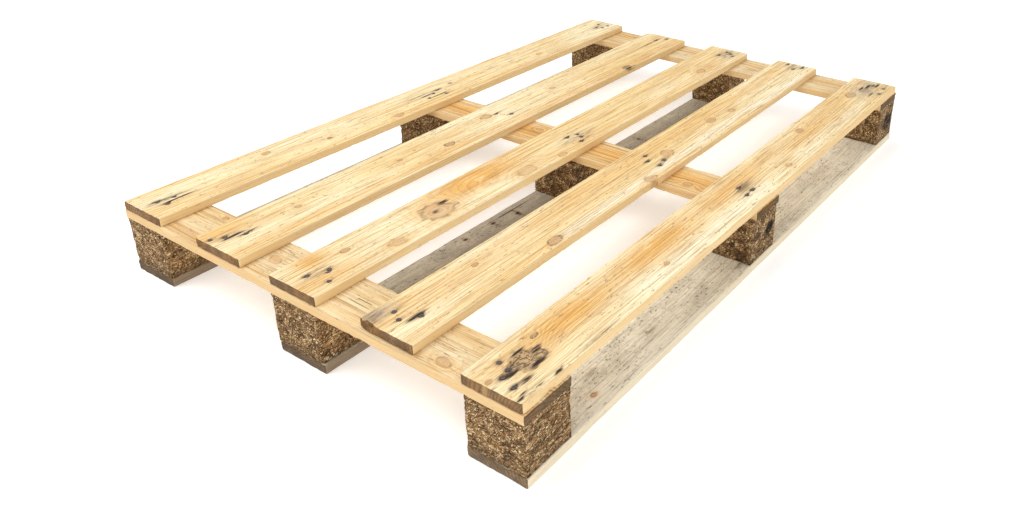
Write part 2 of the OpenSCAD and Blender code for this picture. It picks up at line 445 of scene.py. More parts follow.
def cut_wane(local, shaped, half, wanes, seed):
    """Slopes the top down to an edge where the board was cut close to the bark."""
    u, v, _ = local.T
    for start, end, side, depth, reach in wanes:
        taper = end_taper(u, start, end, 4)
        uneven = 0.7 + 0.6 * noise(u / 18, v / 9, 0.0, seed + 16)
        edge = smooth_step((reach - (half[1] - side * v)) / reach)
        drop = depth * taper * uneven * edge ** 1.6
        drop = np.clip(drop, 0, 2 * half[2] - WANE_LEAVES)
        shaped[:, 2] -= drop * (shaped[:, 2] + half[2]) / (2 * half[2])
    return shaped


def tear_sides(local, shaped, half, tears, seed):
    """Tears splinters out of a board's sides."""
    u, v, w = local.T
    for start, end, side, depth in tears:
        taper = end_taper(u, start, end, 2)
        broad = noise(u / 22, w / 5, 0.0, seed + 17)
        uneven = broad * noise(u / 3.5, w / 2.5, 2.0, seed + 18)
        edge = smooth_step((side * v - half[1] + TEAR_REACH) / TEAR_REACH)
        shaped[:, 1] -= side * depth * taper * uneven * 2 * edge
    return shaped


def fray_ends(local, shaped, half, frayed_ends, seed):
    """Breaks fibres off a board's ends."""
    u, v, w = local.T
    for centre, width, end, depth in frayed_ends:
        uneven = noise(v / 4.5, w / 3, 0.0, seed + 19)
        edge = smooth_step((end * u - half[0] + FRAY_REACH) / FRAY_REACH)
        shaped[:, 0] -= end * depth * bell((v - centre) / width) * uneven * edge
    return shaped


def wear_board(local, place, look, nails, nail_side):
    """Gives a plain board its worn edges, wane, torn corners, dents and splits."""
    half = place["half"]
    seed = look["seed"]
    shaped = round_board(local, half, look["wear"], seed)
    shaped = roughen_faces(local, shaped, half, seed)
    for end, side, size in look["soft_corners"]:
        shaped = soften_corner(shaped, half, end, side, size)
    shaped = cut_wane(local, shaped, half, look["wane"], seed)
    shaped = tear_sides(local, shaped, half, look["tears"], seed)
    shaped = fray_ends(local, shaped, half, look["frayed_ends"], seed)
    shaped[:, 2] = sink_nails(local, shaped[:, 2], nails, nail_side)
    return open_splits(local, shaped, look["splits"], seed)


# Spacing of a board's grid lines along it and across it, plain and in detailed
# places, and through it.
GRID_ALONG = (4.5, 1.6)
GRID_ACROSS = (2.2, 0.5)
GRID_THROUGH = 2.0
# How far round a nail, a knot (in its radii) and a split the grid is finer.
FINE_AT_NAIL = 9
FINE_AT_KNOT = 2.6
FINE_AT_SPLIT = 3


def to_board_look(look, place):
    """A board's look with its knots and smears placed in the board's coordinates."""
    look = dict(look)
    for feature in ("knots", "smears"):
        look[feature] = [(*to_board(spot[0], spot[1], place), *spot[2:]) for spot in look[feature]]
    return look


def build_board(node, along, look, nails, nail_side, material):
    """Builds one board in place of its CAD node, with its grain along "x" or "y"."""
    place = board_place(node, along)
    half = place["half"]
    look = to_board_look(look, place)
    spots = [to_board(x, y, place) for x, y in nails]
    here = [(u, v) for u, v in spots if abs(u) < half[0] and abs(v) < half[1]]
    fine_u = [(u, FINE_AT_NAIL) for u, v in here]
    fine_u += [(knot[0], knot[2] * FINE_AT_KNOT) for knot in look["knots"]]
    fine_v = [(split[2], FINE_AT_SPLIT) for split in look["splits"]]
    us = grid_lines(half[0], *GRID_ALONG, fine_u)
    vs = grid_lines(half[1], *GRID_ACROSS, fine_v)
    ws = grid_lines(half[2], GRID_THROUGH)
    local, quads = box_grid(us, vs, ws)
    fields = wood_fields(local, place, look, here, nail_side)
    shaped, split = wear_board(local, place, look, here, nail_side)
    fields["split"] = split
    points = to_row_frame(shaped, place)
    if along == "y":
        quads = quads[:, ::-1]
    return make_piece(node, points, quads, fields, material)


# -------- pressed-chip blocks

CHIP_COUNT = 620
# Chips lie flatter than they stand, and are longer than they are wide.
CHIP_UPRIGHT = 0.45
CHIP_STRETCH = 0.9
BLOCK_GRID = 2.3
BLOCK_FACE_LEVEL = 0.3
# A block's edges: least radius, how much more it can be, how much broken corners add.
BLOCK_RADIUS = 1.0
BLOCK_RADIUS_MORE = 2.6
BLOCK_BROKEN = 12
BLOCK_RADII = (0.8, 6.0)
# How deep the chips lie below the face: at least, by chip, and by fine noise.
CHIP_DEPTHS = (0.25, 1.25, 0.5)
# The relief fades over this height towards the board above and the runner below.
RELIEF_FADE = 3.0


def chip_relief(local, seed):
    """Each point's pressed chip: how deep it lies and its tone, from 0 to 1."""
    draw = np.random.default_rng(seed)
    centres = local[draw.integers(0, len(local), CHIP_COUNT)]
    heading = draw.normal(size=(CHIP_COUNT, 3)) * (1.0, 1.0, CHIP_UPRIGHT)
    heading /= np.linalg.norm(heading, axis=1, keepdims=True)
    gap = local[:, None, :] - centres[None, :, :]
    along = (gap * heading[None, :, :]).sum(axis=2)
    score = (gap ** 2).sum(axis=2) - CHIP_STRETCH * along ** 2
    chip = score.argmin(axis=1)
    return draw.random(CHIP_COUNT)[chip], draw.random(CHIP_COUNT)[chip]


def shape_block(local, half, depth, seed):
    """Rounds and breaks a block's edges and presses its chips in."""
    u, v, w = local.T
    corner = np.sign(u) * 4 + np.sign(v) * 2 + np.sign(w)
    uneven = noise(u / 12, v / 12, w / 12 + corner * 5.0, seed + 1)
    broken = np.clip(noise(u / 6, v / 6, w / 6, seed + 2) - 0.68, 0, 1) * BLOCK_BROKEN
    radius = BLOCK_RADIUS + BLOCK_RADIUS_MORE * uneven
    shaped = round_edges(local, half, np.clip(radius + broken, *BLOCK_RADII))
    upright = np.clip((half[2] - np.abs(w)) / RELIEF_FADE, 0, 1)
    least, by_chip, by_noise = CHIP_DEPTHS
    push = least + by_chip * depth + by_noise * noise(u / 4, v / 4, w / 4, seed + 3)
    for axis in (0, 1):
        on_face = np.abs(local[:, axis]) > half[axis] - BLOCK_FACE_LEVEL
        shaped[on_face, axis] -= (push * upright * np.sign(local[:, axis]))[on_face]
    return shaped


def build_block(node, seed, smudge, shade, material):
    """Builds one block in place of its CAD node. smudge is a dark mark on its outer
    side (along, up, size) or None, and shade is painted shade that darkens the whole block."""
    points = node_points(node)
    low, high = points.min(axis=0), points.max(axis=0)
    half = (high - low) / 2
    middle = (high + low) / 2
    local, quads = box_grid(*[grid_lines(size, BLOCK_GRID) for size in half])
    depth, tone = chip_relief(local, seed)
    shaped = shape_block(local, half, depth, seed)
    u, v, w = local.T
    mark = np.zeros(len(local))
    if smudge is not None:
        spot_u, spot_w, size = smudge
        outer = v < -half[1] + 1.0
        mark = bell(np.hypot((u - spot_u) / size, (w - spot_w) / (size * 0.8))) * outer
    fields = {
        "grain": (local + middle + seed * 37.0) * MM,
        "chip": tone,
        # Chip depth plus the block's painted shade; the material darkens by both.
        "depth": depth + shade,
        "smudge": mark,
        "height": (w + half[2]) / (2 * half[2]),
    }
    return make_piece(node, shaped + middle, quads, fields, material)


# -------- materials


class Shader:
    """Short names for building one material out of nodes."""

    def __init__(self, name):
        self.material = bpy.data.materials.new(name)
        self.material.use_nodes = True
        self.tree = self.material.node_tree
        self.surface = self.tree.nodes["Principled BSDF"]

    def node(self, kind, **settings):
        made = self.tree.nodes.new(kind)
        for key, value in settings.items():
            setattr(made, key, value)
        return made

    def plug(self, value, socket):
        if isinstance(value, bpy.types.NodeSocket):
            self.tree.links.new(value, socket)
        else:
            socket.default_value = value

    def field(self, name):
        return self.node("ShaderNodeAttribute", attribute_name=name).outputs["Fac"]

    def vector_field(self, name):
        return self.node("ShaderNodeAttribute", attribute_name=name).outputs["Vector"]

    def math(self, operation, a, b=0.0, clamp=False):
        made = self.node("ShaderNodeMath", operation=operation, use_clamp=clamp)
        self.plug(a, made.inputs[0])
        self.plug(b, made.inputs[1])
        return made.outputs[0]

    def times(self, a, b, clamp=False):
        return self.math("MULTIPLY", a, b, clamp)

    def plus(self, a, b, clamp=False):
        return self.math("ADD", a, b, clamp)

    def scaled(self, vector, scale):
        made = self.node("ShaderNodeMapping")
        self.plug(vector, made.inputs["Vector"])
        made.inputs["Scale"].default_value = scale
        return made.outputs[0]

    def noise(self, vector, scale=1.0, detail=3.0, roughness=0.55, distortion=0.0):
        made = self.node("ShaderNodeTexNoise")
        self.plug(vector, made.inputs["Vector"])
        made.inputs["Scale"].default_value = scale
        made.inputs["Detail"].default_value = detail
        made.inputs["Roughness"].default_value = roughness
        made.inputs["Distortion"].default_value = distortion
        return made.outputs["Fac"]

    def cells(self, vector):
        made = self.node("ShaderNodeTexVoronoi")
        self.plug(vector, made.inputs["Vector"])
        made.inputs["Scale"].default_value = 1.0
        return made.outputs

    def span(self, value, low, high, to_low=0.0, to_high=1.0):
        """Maps low..high smoothly to to_low..to_high and holds it outside."""
        made = self.node("ShaderNodeMapRange", interpolation_type="SMOOTHSTEP")
        self.plug(value, made.inputs["Value"])
        limits = (low, high, to_low, to_high)
        for name, limit in zip(("From Min", "From Max", "To Min", "To Max"), limits):
            made.inputs[name].default_value = limit
        return made.outputs["Result"]

    def mix(self, amount, a, b, blend="MIX"):
        made = self.node("ShaderNodeMix", data_type="RGBA", blend_type=blend)
        self.plug(amount, made.inputs[0])
        self.plug(a if isinstance(a, bpy.types.NodeSocket) else (*a, 1.0), made.inputs[6])
        self.plug(b if isinstance(b, bpy.types.NodeSocket) else (*b, 1.0), made.inputs[7])
        return made.outputs[2]

    def ramp(self, value, stops):
        made = self.node("ShaderNodeValToRGB")
        self.plug(value, made.inputs["Fac"])
        band = made.color_ramp
        while len(band.elements) < len(stops):
            band.elements.new(1.0)
        for element, (position, colour) in zip(band.elements, stops):
            element.position = position
            element.color = (*colour, 1.0)
        return made.outputs["Color"]

    def bump(self, height, strength, distance, normal=None):
        made = self.node("ShaderNodeBump")
        made.inputs["Strength"].default_value = strength
        made.inputs["Distance"].default_value = distance
        self.plug(height, made.inputs["Height"])
        if normal is not None:
            self.plug(normal, made.inputs["Normal"])
        return made.outputs["Normal"]

    def finish(self, colour, roughness, normal, specular):
        """Connects the finished surface and gives the material."""
        self.plug(colour, self.surface.inputs["Base Color"])
        self.plug(roughness, self.surface.inputs["Roughness"])
        self.plug(normal, self.surface.inputs["Normal"])
        self.surface.inputs["Specular IOR Level"].default_value = specular
        return self.material


def ring_lines(shader, gap, wander, cloud):
    """Latewood lines: 0 in pale earlywood, rising to 1 at the end of each ring."""
    shifted = shader.plus(shader.field("rings"), shader.times(wander, 3.0))
    shifted = shader.plus(shifted, shader.times(cloud, 5.0))
    phase = shader.math("FRACT", shader.math("DIVIDE", shifted, gap))
    rise = shader.span(phase, 0.35, 0.86)
    fall = shader.span(phase, 0.88, 0.99, 1.0, 0.0)
    return shader.times(rise, fall)


# The wood's patterns: how fast each changes along, across and through a board (per
# metre), then its detail and, where they aren't the usual, roughness and distortion.
WOOD_PATTERNS = {
    "fibre": ((9, 420, 420), 4.0, 0.62),
    "streak": ((3.2, 75, 75), 4.0),
    "cloud": ((2.4, 11, 11), 3.0),
    "fleck": ((90, 330, 330), 2.0),
    "blotch": ((26, 42, 42), 5.0, 0.65),
    "pores": ((14, 520, 520), 1.0),
    "swirl": ((58, 105, 105), 4.0, 0.55, 3.2),
    "broken_rim": ((70, 120, 120), 3.0),
    "dark_spots": ((170, 300, 300), 4.0, 0.75),
    "smear": ((22, 190, 190), 5.0, 0.68),
    "saw": ((650, 24, 24), 2.0),
}
WHITE = (1.0, 1.0, 1.0)
IRON_BROWN = (0.33, 0.23, 0.15)
IRON_BLACK = (0.028, 0.017, 0.012)
# Painted shade inside the splits.
CRACK_PAINTED_SHADE = (0.035, 0.022, 0.014)


def wood_patterns(shader):
    """The noise patterns that the wood's colour and surface are made of."""
    grain = shader.vector_field("grain")
    return {
        name: shader.noise(shader.scaled(grain, scale), 1.0, *settings)
        for name, (scale, *settings) in WOOD_PATTERNS.items()
    }


def grown_wood(shader, pattern, late, tint):
    """The colour of clean wood: heartwood, sapwood, rings, fibres and pores."""
    cloud = pattern["cloud"]
    colour = shader.mix(shader.span(cloud, 0.36, 0.64), tint["pale"], tint["warm"])
    heart = shader.times(shader.field("heart"), shader.span(pattern["blotch"], 0.12, 0.50))
    colour = shader.mix(heart, colour, tint["heart"])
    colour = shader.mix(shader.field("sap"), colour, tint["sap"])
    patchy = shader.span(cloud, 0.25, 0.75, 0.35, 1.0)
    late_amount = shader.times(late, shader.times(patchy, tint["late_amount"]))
    bold = shader.plus(shader.field("heart"), 0.5)
    colour = shader.mix(shader.times(late_amount, bold, clamp=True), colour, tint["late"])
    streaks = shader.span(pattern["streak"], 0.5, 0.8, 0.0, tint["streaks"])
    colour = shader.mix(streaks, colour, tint["late"])
    fibre_shade = shader.ramp(pattern["fibre"], [(0.32, tint["fibre"]), (0.53, WHITE)])
    colour = shader.mix(0.85, colour, fibre_shade, "MULTIPLY")
    pores = shader.span(pattern["pores"], 0.60, 0.72, 0.0, tint["pores"])
    colour = shader.mix(pores, colour, tint["late"])
    speck = shader.span(pattern["fleck"], 0.64, 0.71, 0.0, tint["specks"])
    return shader.mix(speck, colour, tint["speck"])


def add_sawn_faces(shader, colour, pattern, late, tint):
    """Makes the sides a little darker and warmer, and the ends dark end grain, with painted shade in
    the darker ends and sides of some tints.
    """
    colour = shader.mix(shader.times(shader.field("side"), 0.75), colour, tint["side"])
    end_lines = shader.plus(shader.times(late, 0.5), 0.15)
    end_colour = shader.mix(end_lines, tint["end"], tint["end_dark"])
    for name, low, high, most in (("fleck", 0.45, 0.7, 0.5), ("blotch", 0.42, 0.62, 0.7)):
        dark = shader.span(pattern[name], low, high, 0.0, most)
        end_colour = shader.mix(dark, end_colour, tint["end_dark"])
    return shader.mix(shader.times(shader.field("cut"), 0.92), colour, end_colour)


def add_knots(shader, colour, pattern, tint):
    """Knots: a warm halo, a ringed middle, swirled in dead knots, and a broken rim."""
    bent = shader.times(shader.math("SUBTRACT", pattern["streak"], 0.5), 0.5)
    near = shader.plus(shader.field("knot"), bent)
    tone = shader.field("knot_tone")
    knot_ring = shader.math("FRACT", shader.times(near, 3.4))
    live = shader.mix(shader.span(knot_ring, 0.2, 0.9), tint["knot"], tint["knot_line"])
    swirl = shader.span(pattern["swirl"], 0.45, 0.55)
    dead = shader.mix(swirl, tint["knot_dead"], tint["knot_dark"])
    knot_colour = shader.mix(shader.span(tone, 0.35, 0.9), live, dead)
    colour = shader.mix(shader.span(near, 0.9, 2.3, 0.45, 0.0), colour, tint["halo"])
    strength = shader.span(tone, 0.1, 0.6, 0.32, 0.82)
    inside = shader.times(shader.span(near, 0.75, 1.1, 1.0, 0.0), strength)
    colour = shader.mix(inside, colour, knot_colour)
    rim = shader.times(shader.span(near, 0.74, 0.98), shader.span(near, 0.98, 1.2, 1.0, 0.0))
    rim = shader.times(rim, shader.span(pattern["broken_rim"], 0.38, 0.58, 0.20, 1.0))
    return shader.mix(shader.times(rim, strength), colour, tint["knot_dark"])


def add_weather(shader, colour, pattern, tint):
    """Grey patches and dark specks on the broad faces."""
    blotch = pattern["blotch"]
    grey = shader.times(shader.field("grey"), shader.span(blotch, 0.32, 0.62))
    grey = shader.plus(grey, shader.span(blotch, 0.42, 0.72, 0.0, tint["dirt"]), clamp=True)
    edges = shader.plus(shader.field("cut"), shader.times(shader.field("side"), 0.8))
    face = shader.math("SUBTRACT", 1.0, edges)
    colour = shader.mix(shader.times(grey, face), colour, tint["grey"])
    spots = shader.span(pattern["dark_spots"], 0.58, 0.63, 0.0, tint["spots"])
    spots = shader.times(spots, face)
    spots = shader.times(spots, shader.span(blotch, 0.38, 0.60, 0.25, 1.0))
    clustered = shader.plus(shader.times(shader.field("grey"), 0.7), 0.5, clamp=True)
    return shader.mix(shader.times(spots, clustered), colour, tint["spot"])


def add_stains(shader, colour, pattern):
    """Iron stains, brown where weak and black where strong, then painted shade in the cracks."""
    iron = shader.span(pattern["smear"], 0.32, 0.62, 0.15, 1.6)
    iron = shader.times(shader.field("iron"), iron)
    iron = shader.times(iron, shader.math("SUBTRACT", 1.0, shader.field("cut")))
    colour = shader.mix(shader.span(iron, 0.06, 0.50, 0.0, 0.52), colour, IRON_BROWN)
    colour = shader.mix(shader.span(iron, 0.30, 0.95, 0.0, 0.95), colour, IRON_BLACK)
    return shader.mix(shader.span(shader.field("split"), 0.25, 0.8), colour, CRACK_PAINTED_SHADE)


def wood_material(name, tint):
    """Sawn softwood. tint holds its colours and how strong each feature is."""
    shader = Shader(name)
    pattern = wood_patterns(shader)
    late = ring_lines(shader, tint["ring_gap"], pattern["streak"], pattern["cloud"])
    colour = grown_wood(shader, pattern, late, tint)
    colour = add_sawn_faces(shader, colour, pattern, late, tint)
    colour = add_knots(shader, colour, pattern, tint)
    colour = add_weather(shader, colour, pattern, tint)
    colour = add_stains(shader, colour, pattern)
    roughness = shader.span(pattern["fibre"], 0.2, 0.8, 0.62, 0.86)
    normal = shader.bump(pattern["fibre"], 0.32, 0.0007)
    normal = shader.bump(late, 0.30, 0.0004, normal)
    normal = shader.bump(pattern["saw"], 0.16, 0.0005, normal)
    normal = shader.bump(pattern["blotch"], 0.20, 0.0010, normal)
    return shader.finish(colour, roughness, normal, specular=0.12)


# Three layers of chips lying different ways: how fast each changes, per metre.
CHIP_LAYERS = ((190, 700, 820), (640, 220, 720), (430, 470, 400))
CHIP_WARP = (0.012, -0.009, 0.007)
CHIP_BROWNS = [
    (0.0, (0.032, 0.016, 0.007)),
    (0.25, (0.105, 0.053, 0.021)),
    (0.48, (0.225, 0.120, 0.049)),
    (0.68, (0.380, 0.222, 0.097)),
    (0.82, (0.600, 0.390, 0.190)),
    (1.0, (0.880, 0.660, 0.380)),
]
CHIP_DUST = [(0.3, (0.45, 0.43, 0.40)), (0.62, WHITE)]
# Painted shade in the gaps between chips.
CHIP_GAP_PAINTED_SHADE = (0.020, 0.012, 0.007)
STRAW = (0.93, 0.76, 0.44)
# Painted shade for deep-lying chips.
CHIP_DEEP_PAINTED_SHADE = (0.045, 0.026, 0.013)
# Painted shade at the foot of a block.
BLOCK_FOOT_PAINTED_SHADE = (0.060, 0.038, 0.022)
SMUDGE_BLACK = (0.010, 0.009, 0.009)


def chip_cells(shader, grain):
    """Each chip's chance numbers, as a colour, and how near its edge a point is."""
    bent = shader.noise(shader.scaled(grain, (120, 120, 120)), detail=2.0)
    warp = shader.node("ShaderNodeVectorMath", operation="MULTIPLY_ADD")
    shader.plug(bent, warp.inputs[0])
    warp.inputs[1].default_value = CHIP_WARP
    shader.plug(grain, warp.inputs[2])
    layers = [shader.cells(shader.scaled(warp.outputs[0], scale)) for scale in CHIP_LAYERS]
    pick = shader.noise(shader.scaled(grain, (70, 70, 70)), detail=1.0)
    chance = shader.mix(shader.span(pick, 0.44, 0.50), layers[0]["Color"], layers[1]["Color"])
    chance = shader.mix(shader.span(pick, 0.56, 0.60), chance, layers[2]["Color"])
    separate = shader.node("ShaderNodeSeparateColor")
    shader.plug(chance, separate.inputs[0])
    return separate.outputs, shader.math("MAXIMUM", layers[0]["Distance"], layers[1]["Distance"])


def pressed_wood_material():
    """Wood chips pressed into a block, in many browns, with painted shade in the gaps between them, on
    deep chips and towards the foot.
    """
    shader = Shader("pressed_wood_chips")
    grain = shader.vector_field("grain")
    chance, edge = chip_cells(shader, grain)
    tone = shader.plus(shader.times(chance[0], 0.72), shader.times(shader.field("chip"), 0.28))
    colour = shader.ramp(tone, CHIP_BROWNS)
    # Painted shade: darkens the chips' edges, where the gaps between them are.
    colour = shader.mix(shader.span(edge, 0.62, 0.95, 0.0, 0.75), colour, CHIP_GAP_PAINTED_SHADE)
    colour = shader.mix(shader.span(chance[1], 0.90, 0.93, 0.0, 0.85), colour, STRAW)
    # Painted shade: deeper chips, and blocks given painted shade, are darkened towards near-black
    # brown.
    deep = shader.span(shader.field("depth"), 0.55, 1.3, 0.0, 0.80)
    colour = shader.mix(deep, colour, CHIP_DEEP_PAINTED_SHADE)
    dust = shader.noise(shader.scaled(grain, (420, 420, 420)), detail=3.0, roughness=0.7)
    colour = shader.mix(0.5, colour, shader.ramp(dust, CHIP_DUST), "MULTIPLY")
    # Painted shade: darkens the bottom of each block, where it stands on the runner.
    low = shader.span(shader.field("height"), 0.0, 0.3, 0.38, 0.0)
    colour = shader.mix(low, colour, BLOCK_FOOT_PAINTED_SHADE)
    rough_mark = shader.noise(shader.scaled(grain, (90, 90, 90)), detail=4.0, roughness=0.7)
    mark = shader.times(shader.field("smudge"), shader.span(rough_mark, 0.35, 0.55, 0.3, 1.4))
    colour = shader.mix(shader.span(mark, 0.25, 0.6, 0.0, 0.93), colour, SMUDGE_BLACK)
    normal = shader.bump(tone, 0.55, 0.0012)
    normal = shader.bump(edge, 0.45, 0.0010, normal)
    normal = shader.bump(dust, 0.40, 0.0008, normal)
    roughness = shader.span(dust, 0.3, 0.7, 0.70, 0.95)
    return shader.finish(colour, roughness, normal, specular=0.10)


def nail_material():
    """Dull nail steel, darkened and rusty in patches."""
    shader = Shader("nail_steel_rusty")
    place = shader.node("ShaderNodeTexCoord").outputs["Object"]
    patches = shader.noise(place, scale=420.0, detail=4.0, roughness=0.65)
    fine = shader.noise(place, scale=2600.0, detail=3.0)
    colour = shader.ramp(patches, [
        (0.30, (0.045, 0.040, 0.040)),
        (0.50, (0.110, 0.095, 0.088)),
        (0.66, (0.150, 0.075, 0.040)),
    ])
    colour = shader.mix(shader.span(fine, 0.5, 0.75, 0.0, 0.4), colour, (0.24, 0.22, 0.21))
    shader.plug(shader.span(patches, 0.4, 0.6, 0.8, 0.15), shader.surface.inputs["Metallic"])
    roughness = shader.span(fine, 0.3, 0.7, 0.42, 0.7)
    return shader.finish(colour, roughness, shader.bump(fine, 0.3, 0.0002), specular=0.5)


PINE = {
    "pale": (0.95, 0.85, 0.57), "warm": (0.89, 0.68, 0.35), "heart": (0.82, 0.47, 0.14),
    "late": (0.56, 0.30, 0.10), "ring_gap": 5.2, "late_amount": 0.50, "streaks": 0.14,
    "fibre": (0.56, 0.40, 0.22), "pores": 0.8, "speck": (0.22, 0.12, 0.05), "specks": 0.7,
    "side": (0.75, 0.52, 0.25), "end": (0.27, 0.130, 0.050), "end_dark": (0.055, 0.026, 0.011),
    "knot": (0.62, 0.36, 0.18), "knot_line": (0.38, 0.19, 0.09), "knot_dark": (0.055, 0.030, 0.020),
    "knot_dead": (0.50, 0.33, 0.17), "halo": (0.78, 0.50, 0.21), "sap": (0.97, 0.90, 0.68),
    "grey": (0.46, 0.40, 0.31), "dirt": 0.12, "spot": (0.14, 0.08, 0.04), "spots": 0.55,
}
# Cross-board wood: its darker ends are end grain with painted shade from the deck edge above.
CROSS = dict(
    PINE, pale=(0.85, 0.73, 0.48), warm=(0.80, 0.60, 0.32), ring_gap=6.0, late_amount=0.85,
    side=(0.68, 0.45, 0.21), dirt=0.16, end=(0.15, 0.078, 0.034), end_dark=(0.035, 0.019, 0.010),
)
RUNNER = dict(
    PINE, pale=(0.96, 0.92, 0.79), warm=(0.88, 0.81, 0.66), heart=(0.72, 0.60, 0.40),
    late=(0.36, 0.30, 0.22), late_amount=0.35, side=(0.76, 0.64, 0.44), fibre=(0.60, 0.56, 0.50),
    end=(0.24, 0.130, 0.050), end_dark=(0.035, 0.018, 0.008), grey=(0.56, 0.52, 0.42),
    dirt=0.34, spot=(0.07, 0.055, 0.040), spots=1.4,
)
# Darker copy for the runners under the deck: partly their own tone, partly painted shade, darkest on
# the sides.
RUNNER_BROWN_SHADED = dict(
    RUNNER, pale=(0.62, 0.57, 0.46), warm=(0.50, 0.45, 0.36), side=(0.15, 0.080, 0.032),
    end=(0.15, 0.080, 0.032), grey=(0.40, 0.37, 0.31),
)

# -------- how each board looks

PLAIN = {
    "knots": [], "smears": [], "heart": [], "warm": [], "sap": [], "grey": [], "wane": [], "tears": [],
    "frayed_ends": [], "splits": [], "iron": 1.0, "wear": 1.0,
    "soft_corners": [(-1, -1, 3), (-1, 1, 3), (1, -1, 4), (1, 1, 4)],
}

# Knots are (x, y, radius, darkness, stretch along the grain) and smears (x, y, length,
# width, strength), placed in the row frame. The rest is placed along and across the
# board, from its middle: warm and grey patches (along, across, length, width,
# strength), heart bands (across, width, strength), sap strips (start, end, across,
# width, strength), splits (start, end, across, depth), wane (start, end, side, depth,
# reach), tears (start, end, side, depth), frayed ends (across, width, end, depth) and
# soft corners (end, side, size). Sides and ends are -1 or 1, and sizes millimetres.
DECK_LOOKS = {
    "deck_outer_left": dict(
        PLAIN, seed=11, pith=(-22, -30), heart=[(44, 9, 0.35), (-40, 8, 0.3)],
        knots=[(-367, 372, 5, 0.4, 1.5), (-263, 335, 4, 0.6, 1.4), (59, 359, 3.5, 0.7, 1.6),
               (310, 330, 6, 0.3, 1.4), (-120, 316, 7, 0.3, 1.8)],
        smears=[(-545, 342, 20, 3, 0.9), (-560, 352, 22, 4, 0.7), (2, 330, 26, 2.6, 0.95),
                (-18, 345, 16, 3, 0.8), (18, 353, 9, 2.6, 0.9), (-30, 352, 34, 9, 0.35),
                (235, 350, 12, 3, 0.6), (180, 352, 16, 3, 0.4), (-555, 350, 26, 9, 0.4),
                (556, 338, 30, 14, 0.35)],
    ),
    "deck_inner_left": dict(
        PLAIN, seed=23, pith=(15, -55), heart=[(-38, 12, 0.5)],
        knots=[(-157, 146, 7, 0.5, 1.5), (357, 121, 7, 0.95, 1.6), (-455, 170, 4, 0.4, 1.5),
               (163, 172, 5, 0.3, 1.4), (-253, 168, 4, 0.5, 1.4), (-30, 178, 9, 0.35, 1.4)],
        smears=[(-566, 173, 16, 4, 0.9), (-545, 166, 12, 3, 0.9), (530, 168, 34, 2.5, 0.7),
                (362, 113, 14, 3, 1.0), (-30, 178, 9, 4, 0.4)],
        warm=[(-575, 34, 60, 18, 0.8)], splits=[(355, 590, 6, 3.2)], wear=1.1,
        soft_corners=[(-1, 1, 8), (-1, -1, 3), (1, -1, 4), (1, 1, 14)],
    ),
    "deck_centre": dict(
        PLAIN, seed=37, pith=(-8, -42), heart=[(-32, 10, 0.25)],
        warm=[(-235, 20, 110, 34, 1.2), (-545, 30, 26, 20, 0.9), (470, -20, 60, 22, 0.5),
              (-560, -20, 70, 30, 0.7)],
        knots=[(-440, -29, 10, 0.25, 1.5), (-341, -10, 22, 0.30, 1.35), (-156, -30, 12, 0.2, 1.7),
               (-72, -40, 6, 0.3, 1.6), (-497, 13, 5, 0.4, 1.5), (432, -22, 9, 0.3, 1.5)],
        smears=[(-552, -8, 16, 4, 0.7), (-6, -12, 44, 14, 0.35), (562, -14, 30, 16, 0.45),
                (-318, 2, 9, 6, 1.0), (-338, 12, 16, 1.6, 0.8), (-345, -10, 6, 4, 0.7)],
    ),
    "deck_inner_right": dict(
        PLAIN, seed=41, pith=(60, -25), heart=[(20, 20, 0.45), (-36, 5, 0.4)],
        warm=[(330, 20, 120, 16, 0.6), (520, 25, 60, 12, 0.8), (-480, 10, 90, 30, 0.5)],
        sap=[(-330, 560, -34, 9, 0.95)],
        knots=[(37, -183, 10, 0.3, 1.4), (210, -173, 8, 0.35, 1.5), (277, -181, 6, 0.35, 1.6),
               (-306, -208, 9, 0.42, 1.6), (-420, -160, 4, 0.5, 1.5), (-62, -214, 8, 0.3, 1.9)],
        smears=[(-582, -138, 16, 9, 0.5), (-588, -150, 9, 12, 0.4), (-550, -182, 16, 3, 0.8),
                (578, -172, 26, 12, 0.4)],
        grey=[(-575, 30, 30, 16, 0.8)], wane=[(-70, 430, -1, 2.5, 9)],
        frayed_ends=[(34, 14, -1, 6)], wear=1.15,
    ),
    "deck_outer_right": dict(
        PLAIN, seed=53, pith=(-70, -18), heart=[(24, 18, 0.45)],
        warm=[(-440, 14, 110, 26, 1.0), (-230, 16, 130, 24, 1.0), (-20, 14, 120, 20, 0.8),
              (240, 8, 140, 24, 0.5)],
        sap=[(-360, 60, -28, 10, 0.7), (150, 500, -26, 12, 0.5)],
        knots=[(263, -331, 7, 0.4, 1.6), (-536, -348, 17, 0.9, 1.5), (-265, -372, 4, 0.4, 1.6),
               (120, -376, 5, 0.3, 1.5), (492, -338, 10, 0.35, 1.3), (535, -352, 9, 0.5, 1.3),
               (-496, -327, 4, 0.8, 1.6), (-590, -340, 4, 0.5, 1.5)],
        smears=[(-513, -346, 8, 3.5, 1.0), (-532, -331, 10, 2.5, 0.9), (-566, -352, 10, 4, 1.0),
                (-556, -341, 10, 3, 0.85), (-530, -364, 12, 4, 1.0), (-562, -372, 10, 4, 0.7),
                (-590, -389, 7, 2.0, 1.0), (-575, -393, 8, 1.6, 1.1), (-561, -391, 7, 1.5, 0.9),
                (-582, -384, 6, 1.4, 0.7), (-530, -394, 6, 2.0, 1.2), (-520, -391, 4, 1.4, 0.8),
                (-440, -392, 50, 1.2, 0.7), (-2, -352, 30, 12, 0.4), (560, -350, 14, 3, 0.8),
                (575, -365, 12, 3, 0.8), (540, -343, 10, 3, 0.8), (520, -372, 12, 2.5, 0.7),
                (550, -358, 34, 24, 0.3)],
        grey=[(545, 0, 50, 34, 0.8)],
        tears=[(-600, -500, -1, 2.4)], wear=1.1,
        soft_corners=[(-1, -1, 6), (-1, 1, 3), (1, -1, 5), (1, 1, 4)],
    ),
}
